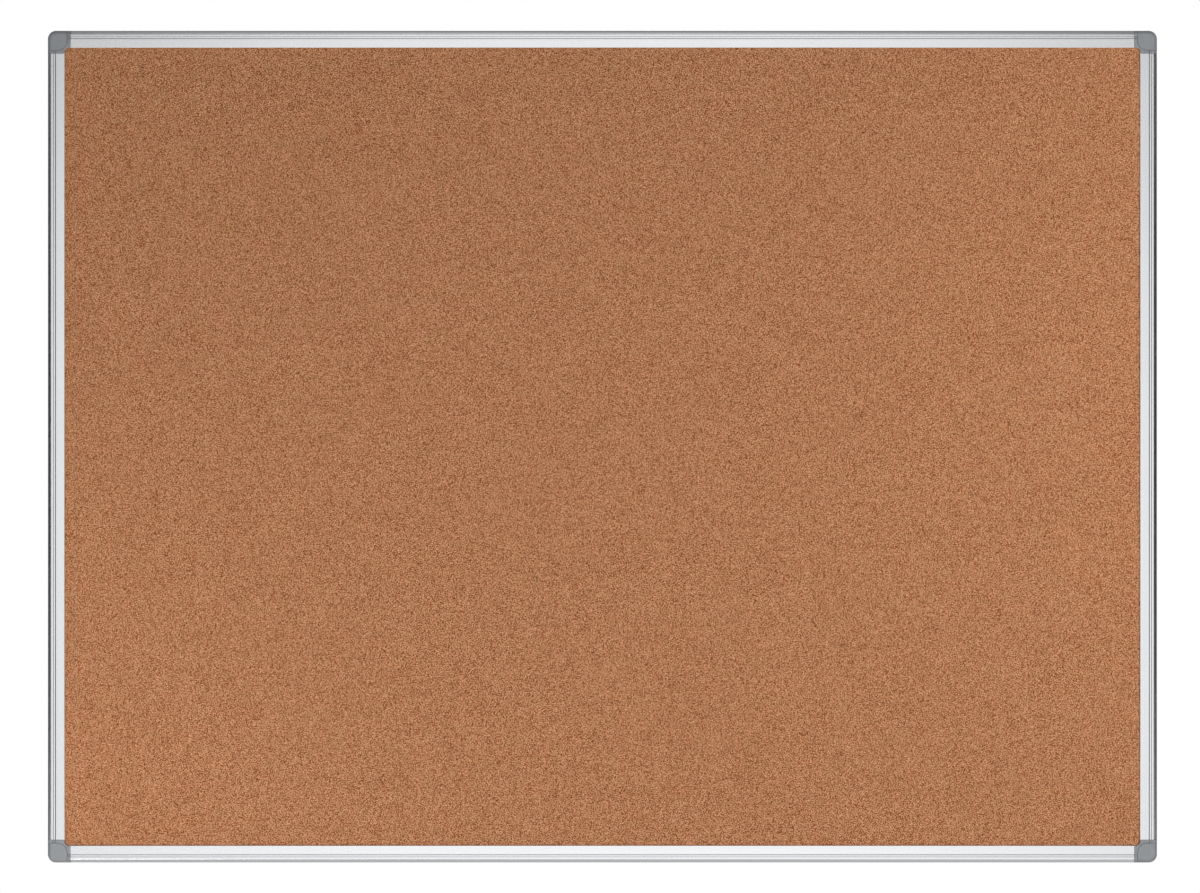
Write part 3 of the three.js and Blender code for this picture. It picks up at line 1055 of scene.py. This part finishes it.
def screwProfile(tip, seat, top):
    s = screwSet
    shank = s["shankRadius"]
    head = s["headRadius"]
    thread = tip + s["pointLength"]
    crown = (head + s["recessLength"] / 2) / 2
    profile = [(s["pointRadius"], tip), (shank, thread)]
    for turn in range(math.floor((s["length"] - s["pointLength"]) / s["pitch"])):
        at = thread + (turn + 0.5) * s["pitch"]
        flank = s["pitch"] * s["flankShare"]
        profile += [(shank, at - flank), (s["threadRadius"], at), (shank, at + flank)]
    return profile + [
        (shank, seat),
        (head - s["headEdge"], seat),
        (head, seat + s["headEdge"]),
        (head, seat + s["rimHeight"]),
        (head - s["rimInset"], seat + s["rimHeight"] + s["headEdge"]),
        ((crown + head) / 2, seat + s["domeShare"] * s["headHeight"]),
        (crown, top - s["crownDrop"]),
        (s["recessLength"] / 2, top),
    ]


def crossBar(x, y):
    return lambda share: rectangle(-x * share, x * share, -y * share, y * share)


def buildScrew():
    s = screwSet
    seat = screwSeat + s["clearance"]
    top = seat + s["headHeight"]
    mesh = turnedMesh(screwProfile(seat - s["length"], seat, top), 0, 0, s["steps"])
    long = s["recessLength"] / 2
    short = s["recessWidth"] / 2
    floor = (s["recessFloorShare"], top - s["recessDepth"])
    mouth = (s["recessMouthShare"], top + overrun)
    bars = [crossBar(long, short), crossBar(short, long)]
    slots = [steppedMesh(bar, [floor, (1, top), mouth]) for bar in bars]
    return combine(mesh, "DIFFERENCE", *slots)


def smoothMoulding(mesh, degrees):
    tidyMesh(mesh)
    shadeByAngle(mesh, degrees)
    return holdFlats(mesh)


# Each corner's name, its direction from the board's middle, and the rails that its screws hold
cornerPlaces = [
    ("top_left", -1, 1, ("top", "left")),
    ("top_right", 1, 1, ("right", "top")),
    ("bottom_right", 1, -1, ("bottom", "right")),
    ("bottom_left", -1, -1, ("left", "bottom")),
]
baseMesh = smoothMoulding(buildCornerBase(), cornerSet["smoothBelow"])
capMesh = smoothMoulding(buildCap(), cornerSet["smoothBelow"])
screwMesh = smoothMoulding(buildScrew(), screwSet["smoothBelow"])


def movedCopy(mesh, move):
    copy = mesh.copy()
    copy.transform(move)
    return copy


def placeCorner(turns, name, sideX, sideZ, rails):
    piece = name.title().replace("_", "")
    corner = Matrix.Translation((sideX * halfWidth, frontY, sideZ * halfHeight))
    turn = Matrix.Rotation(rightAngle * turns, 4, "Y")
    move = corner @ turn @ Matrix.Rotation(-rightAngle, 4, "X")
    base = movedCopy(baseMesh, move)
    finishPiece("cornerBase" + piece, base, plasticMaterial, "board", "corner_base_" + name)
    cap = movedCopy(capMesh, move)
    body = "cap_" + name
    finishPiece("cornerCap" + piece, cap, plasticMaterial, body, "corner_" + body)
    for (x, y), rail in zip(screwPlaces, rails):
        screw = movedCopy(screwMesh, move @ Matrix.Translation((x, y, 0)))
        screwName = "screw" + piece + rail.capitalize()
        node = "screw_" + name + "_in_" + rail + "_rail"
        finishPiece(screwName, screw, zincMaterial, "board", node)


for turns, cornerPlace in enumerate(cornerPlaces):
    placeCorner(turns, *cornerPlace)
print("corners made:", len(cornerPlaces), "base", len(baseMesh.polygons), "cap", len(capMesh.polygons))


# The glued panel: a cork face with a slight unevenness, the core and the backing

sheetSet = dict(
    edgeRound=0.4 * mm,
    edgeShare=0.3,  # of the sheet's thickness at most
    edgeSteps=3,
    corkGrid=6 * mm,
    plainGrid=100 * mm,
    closeTo=0.01 * mm,
    smoothBelow=40,
    frontMap=(0.005, 0.005, 0.99, 0.945),  # corner and size
    backMap=(0.005, 0.957, 0.3, 0.038),
)

# Two crossed waves, each a share and two factors: turns per size along x and z, and a phase
reliefSet = dict(
    height=0.06 * mm,
    fade=3 * mm,
    size=38 * mm,
    waves=[
        (0.6, ((1 / 2.9, 0, 1.3), (0, 1.17 / 2.9, 0.4 + rightAngle))),
        (0.4, ((0.83, 0.31, 0), (-0.23, 1.09, 2.1))),
    ],
)


def sheetRelief(x, z):
    perMetre = 2 * math.pi / reliefSet["size"]
    height = 0
    for share, factors in reliefSet["waves"]:
        for alongX, alongZ, phase in factors:
            share *= math.sin((x * alongX + z * alongZ) * perMetre + phase)
        height += share
    return height * reliefSet["height"]


# How much is cut off each corner of a sheet, read from its solid
def sheetClip(node):
    low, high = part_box(node)
    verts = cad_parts[node].data.vertices
    return high.x - max(v.co.x for v in verts if v.co.z > high.z - sheetSet["closeTo"])


def sheetGrid(bm, low, high, turn, grid):
    columns = max(2, round((high.x - low.x) / grid))
    rows = max(2, round((high.z - low.z) / grid))
    lines = []
    for row in range(rows + 1):
        z = low.z + turn + (high.z - low.z - 2 * turn) * row / rows
        places = [low.x + turn + (high.x - low.x - 2 * turn) * c / columns for c in range(columns + 1)]
        lines.append([bm.verts.new((x, low.y, z)) for x in places])
    for a, b in zip(lines, lines[1:]):
        for c in range(columns):
            bm.faces.new((a[c], a[c + 1], b[c + 1], b[c]))


def clipCorners(bm, high, clip, turn):
    for sideX in (-1, 1):
        for sideZ in (-1, 1):
            normal = Vector((sideX, 0, sideZ)).normalized()
            spot = Vector((sideX * (high.x - clip / 2), 0, sideZ * (high.z - clip / 2))) - normal * turn
            geometry = [*bm.verts, *bm.edges, *bm.faces]
            bmesh.ops.bisect_plane(bm, geom=geometry, plane_co=spot, plane_no=normal, clear_outer=True)


def raiseFace(bm, high):
    for vert in bm.verts:
        edge = min(high.x - abs(vert.co.x), high.z - abs(vert.co.z))
        fade = min(1, max(0, edge / reliefSet["fade"]))
        vert.co.y += (sheetRelief(vert.co.x, vert.co.z) + reliefSet["height"]) * fade


# A border point pushed square out of the sheet's outline, straight or clipped
def outwardFrom(start, high, clip, turn, out):
    x, z = start.x, start.z
    close = sheetSet["closeTo"]
    diagonal = (abs(x) + abs(z)) - (high.x + high.z - clip - turn * math.sqrt(2))
    push = Vector((0, 0, 0))
    if high.x - turn - abs(x) < close:
        push.x = math.copysign(1, x)
    if high.z - turn - abs(z) < close:
        push.z = math.copysign(1, z)
    if abs(diagonal) < close:
        push = Vector((math.copysign(1, x), 0, math.copysign(1, z)))
    return start + push.normalized() * out


# Rounds the sheet's edge front and rear, in rings drawn out from its border, and closes the back
def wrapEdge(bm, low, high, clip, turn):
    arc = quarterArc(sheetSet["edgeSteps"])[1:]
    levels = [(turn * s, low.y + turn * (1 - c)) for s, c in arc]
    levels += [(turn * s, high.y - turn * (1 - c)) for s, c in reversed(arc)]
    levels.append((0, high.y))
    border = [edge for edge in bm.edges if edge.is_boundary]
    starts = {vert: vert.co.copy() for edge in border for vert in edge.verts}
    for out, y in levels:
        drawn = bmesh.ops.extrude_edge_only(bm, edges=border)["geom"]
        moved = {}
        for vert in [v for v in drawn if isinstance(v, bmesh.types.BMVert)]:
            partners = [edge.other_vert(vert) for edge in vert.link_edges]
            partners = [partner for partner in partners if partner in starts]
            source = min(partners, key=lambda partner: (partner.co - vert.co).length)
            moved[vert] = starts[source]
            vert.co = outwardFrom(starts[source], high, clip, turn, out)
            vert.co.y = y
        starts = moved
        edges = [edge for edge in drawn if isinstance(edge, bmesh.types.BMEdge)]
        border = [edge for edge in edges if all(vert in moved for vert in edge.verts)]
    bmesh.ops.contextual_create(bm, geom=border)


def mapSheet(bm, bake, low, high):
    size = high - low
    for face in bm.faces:
        u, v, wide, tall = sheetSet["backMap" if face.normal.y > 0.5 else "frontMap"]
        for loop in face.loops:
            spot = loop.vert.co - low
            loop[bake].uv = (u + wide * spot.x / size.x, v + tall * spot.z / size.z)


def buildSheet(node, piece, material, grid, uneven=False):
    low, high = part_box(node)
    clip = sheetClip(node)
    turn = min(sheetSet["edgeRound"], (high.y - low.y) * sheetSet["edgeShare"])
    bm = bmesh.new()
    bake = bm.loops.layers.uv.new("OFBake")
    sheetGrid(bm, low, high, turn, grid)
    clipCorners(bm, high, clip, turn)
    if uneven:
        raiseFace(bm, high)
    wrapEdge(bm, low, high, clip, turn)
    bmesh.ops.recalc_face_normals(bm, faces=bm.faces)
    mapSheet(bm, bake, low, high)
    mesh = finishMesh(bm)
    shadeByAngle(mesh, sheetSet["smoothBelow"])
    finishPiece(piece, mesh, material, "board", node)


buildSheet("cork_sheet", "corkSheet", corkMaterial, sheetSet["corkGrid"], uneven=True)
buildSheet("softboard_core", "softboardCore", fibreMaterial, sheetSet["plainGrid"])
buildSheet("backing_sheet", "backingSheet", kraftMaterial, sheetSet["plainGrid"])
print("panel made")


# Camera, straight on, framed as the photograph is

photoSet = dict(width=1200, height=893, left=48.0, right=1156.8, top=31.0, bottom=862.3)  # pixels
cameraSet = dict(distance=3.0, sensor=36)


def makeCamera():
    p = photoSet
    data = bpy.data.cameras.new("camera")
    camera = newObject("camera", data)
    pixel = 2 * halfWidth / (p["right"] - p["left"])
    outlineY = frontY + railSet["edgeRadius"]
    camera.location = (0, outlineY - cameraSet["distance"], 0)
    camera.rotation_euler = (rightAngle, 0, 0)
    data.sensor_width = cameraSet["sensor"]
    data.lens = cameraSet["sensor"] * cameraSet["distance"] / (pixel * p["width"])
    data.shift_x = (p["width"] / 2 - (p["left"] + p["right"]) / 2) / p["width"]
    data.shift_y = ((p["top"] + p["bottom"]) / 2 - p["height"] / 2) / p["width"]
    scene.camera = camera


makeCamera()


# Studio: pale floor, white surround, soft lamps in front and behind, cards that only reflections see

studioSet = dict(
    white=(1, 1, 1),
    surroundForDiffuse=0.27,
    floorDrop=1.05,
    floorHalf=6,
    floorColour=(0.9, 0.9, 0.9),
    floorGlow=0.8,
    floorFade=(1.6, 4.5),
    bandRadius=4,
    bandSteps=12,
    cardFall=4,
    cardStretch=(1.105, 1, 1),
)

# Each lamp's name, place, size, watts, and the spot that it is aimed at
lampSet = [
    ("broad front", (0.3, -3.1, -0.2), (2.2, 1.8), 31, (0, 0, 0)),
    ("right fill", (1.9, -2.0, 0), (1.2, 1.2), 15, (0.3, 0, 0)),
    ("low front", (0, -2.4, -1.4), (1.6, 0.8), 9, (0, 0, 0)),
    ("low left", (-1.1, -1.2, -0.9), (0.5, 0.5), 5.9, (-0.5, 0, -0.35)),
    ("left edge", (-0.95, -0.5, -0.4), (0.2, 0.5), 0.7, (-0.5, 0, -0.4)),
    ("right edge", (0.95, -0.6, 0.12), (0.2, 0.5), 1.3, (0.5, 0, 0.12)),
    ("overhead", (0, 0.6, 2.2), (2, 1.6), 16, (0, 0.2, 0)),
    ("rear left", (-1.8, 2.2, 1.2), (1.8, 1.8), 26, (0, 0, 0)),
    ("rear right", (1.8, 2.2, 0.8), (1.8, 1.8), 22, (0, 0, 0)),
]

# Upright bands round the board: name, side, angles from straight in front, lower and upper edge, light
bandSet = [
    ("left wing", -1, (27, 33), (-0.95, 1.3), 0.95),
    ("left band", -1, (33, 86), (-0.95, 1.3), 0.02),
    ("left skirt", -1, (33, 86), (-1.15, -0.95), 0.28),
    ("left flank", -1, (86, 124), (-1.3, 1.3), 0.2),
    ("left rear", -1, (124, 180), (-1.3, 1.3), 0.5),
    ("right wing", 1, (27, 31), (-0.95, 1.3), 0.9),
    ("right band", 1, (31, 86), (-0.95, 1.3), 0.01),
    ("right skirt", 1, (31, 86), (-1.15, -0.95), 0.28),
    ("right flank", 1, (86, 124), (-1.3, 1.3), 0.2),
    ("right rear", 1, (124, 180), (-1.3, 1.3), 0.42),
]

# Flat cards: name, two opposite corners, light. The two strips lie just behind and beside the frame and
# keep its outermost edge dark from the front.
cardSet = [
    ("front card", (-2.3, -4.4, -1.9), (2.3, -4.4, 2.0), 1.085),
    ("table card", (-2.3, -4.4, -1.9), (2.3, -1.6, -1.3), 0.58),
    ("low card", (-2.3, -1.6, -1.3), (2.3, 1.4, -1.3), 0.5),
    ("upper card", (-2.3, -4.4, 2.0), (2.3, -0.4, 1.3), 0.6),
    ("overhead card", (-1.6, -0.4, 1.3), (1.6, 1.4, 1.3), 0.22),
    ("left glow", (-1.85, -2.0, -1.15), (-0.75, -1.0, -1.85), 2.6),
    ("right glow", (0.75, -2.0, -1.15), (1.85, -1.0, -1.85), 1.2),
    ("left strip", (-0.7, 0.005, -0.6), (-0.7, 0.08, 0.6), 0.02),
    ("right strip", (0.7, 0.005, -0.6), (0.7, 0.08, 0.6), 0.02),
]

# How steeply a card's light drops away from its brightest spot
fadeSet = {
    "front card": (0.0193, (0.07, -4.4, -0.27)),
    "upper card": (0.2, (0, -1.3, 1.4)),
}


def makeLamps():
    for name, place, size, watts, aim in lampSet:
        data = bpy.data.lights.new(name, "AREA")
        data.shape = "RECTANGLE"
        data.size, data.size_y = size
        data.energy = watts
        thing = newObject(name, data)
        thing.location = place
        toward = Vector(aim) - thing.location
        thing.rotation_euler = toward.to_track_quat("-Z", "Y").to_euler()
        thing.visible_glossy = False
        thing.visible_camera = False


# One where the camera, a reflection or glass sees the surface, and nothing where it only lights the rest
def seenDirectly(tree):
    path = addNode(tree, "LightPath", {}).outputs
    seen = mathNode(tree, "MAXIMUM", path["Is Camera Ray"], path["Is Glossy Ray"])
    return mathNode(tree, "MAXIMUM", seen, path["Is Transmission Ray"])


def mixShaders(tree, share, a, b):
    return addNode(tree, "MixShader", {0: share, 1: a.outputs[0], 2: b.outputs[0]}).outputs[0]


def makeWorld():
    s = studioSet
    world = bpy.data.worlds.new("white surround")
    scene.world = world
    tree = emptyTree(world)
    felt = addNode(tree, "Background", {"Color": s["white"], "Strength": s["surroundForDiffuse"]})
    seen = addNode(tree, "Background", {"Color": s["white"], "Strength": 1})
    addNode(tree, "OutputWorld", {"Surface": mixShaders(tree, seenDirectly(tree), felt, seen)})


def planeObject(name, points, faces, material):
    mesh = bpy.data.meshes.new(name)
    mesh.from_pydata(points, [], faces)
    mesh.materials.append(material)
    return newObject(name, mesh)


def makeFloor():
    s = studioSet
    z = -halfHeight - s["floorDrop"]
    material, tree = newMaterial("pale floor")
    away = addNode(tree, "VectorMath", {0: objectPoint(tree), 1: (0, 0, z)}, operation="DISTANCE")
    glow = rangeNode(tree, away.outputs["Value"], s["floorFade"], s["floorGlow"], 1, "SMOOTHSTEP")
    share = product(tree, seenDirectly(tree), glow)
    matt = addNode(tree, "BsdfDiffuse", {"Color": s["floorColour"]})
    lit = addNode(tree, "Emission", {})
    addNode(tree, "OutputMaterial", {"Surface": mixShaders(tree, share, matt, lit)})
    half = s["floorHalf"]
    points = [(-half, -half, z), (half, -half, z), (half, half, z), (-half, half, z)]
    planeObject("floor", points, [(0, 1, 2, 3)], material)


def cardMaterial(name, level, fade=0, middle=(0, 0, 0)):
    material, tree = newMaterial(name)
    mapping = {"Location": middle, "Scale": [1 / share for share in studioSet["cardStretch"]]}
    away = addNode(tree, "VectorMath", {0: objectPoint(tree, "TEXTURE", mapping)}, operation="LENGTH")
    far = mathNode(tree, "POWER", away.outputs["Value"], studioSet["cardFall"])
    light = mathNode(tree, "MAXIMUM", mathNode(tree, "MULTIPLY_ADD", far, -fade, level), 0)
    glow = addNode(tree, "Emission", {"Strength": light})
    addNode(tree, "OutputMaterial", {"Surface": glow.outputs[0]})
    return material


def reflectedPlane(name, points, faces, material):
    card = planeObject(name, points, faces, material)
    for kind in ("camera", "diffuse", "shadow", "transmission", "volume_scatter"):
        setattr(card, "visible_" + kind, False)


def makeBand(name, side, turn, reach, level):
    points = []
    first, last = turn
    steps = studioSet["bandSteps"]
    for step in range(steps + 1):
        angle = math.radians(first + (last - first) * step / steps)
        x = side * studioSet["bandRadius"] * math.sin(angle)
        y = -studioSet["bandRadius"] * math.cos(angle)
        points += [(x, y, z) for z in reach]
    faces = [(k, k + 2, k + 3, k + 1) for k in range(0, 2 * steps, 2)]
    reflectedPlane(name, points, faces, cardMaterial(name, level))


def makeCard(name, low, high, level):
    if low[0] == high[0]:
        points = [low, (low[0], low[1], high[2]), high, (low[0], high[1], low[2])]
    else:
        points = [low, (high[0], low[1], low[2]), high, (low[0], high[1], high[2])]
    material = cardMaterial(name, level, *fadeSet.get(name, ()))
    reflectedPlane(name, points, [(0, 1, 2, 3)], material)


makeWorld()
makeLamps()
makeFloor()
for band in bandSet:
    makeBand(*band)
for card in cardSet:
    makeCard(*card)
print("studio made:", len(lampSet), "lamps,", len(bandSet) + len(cardSet), "cards")
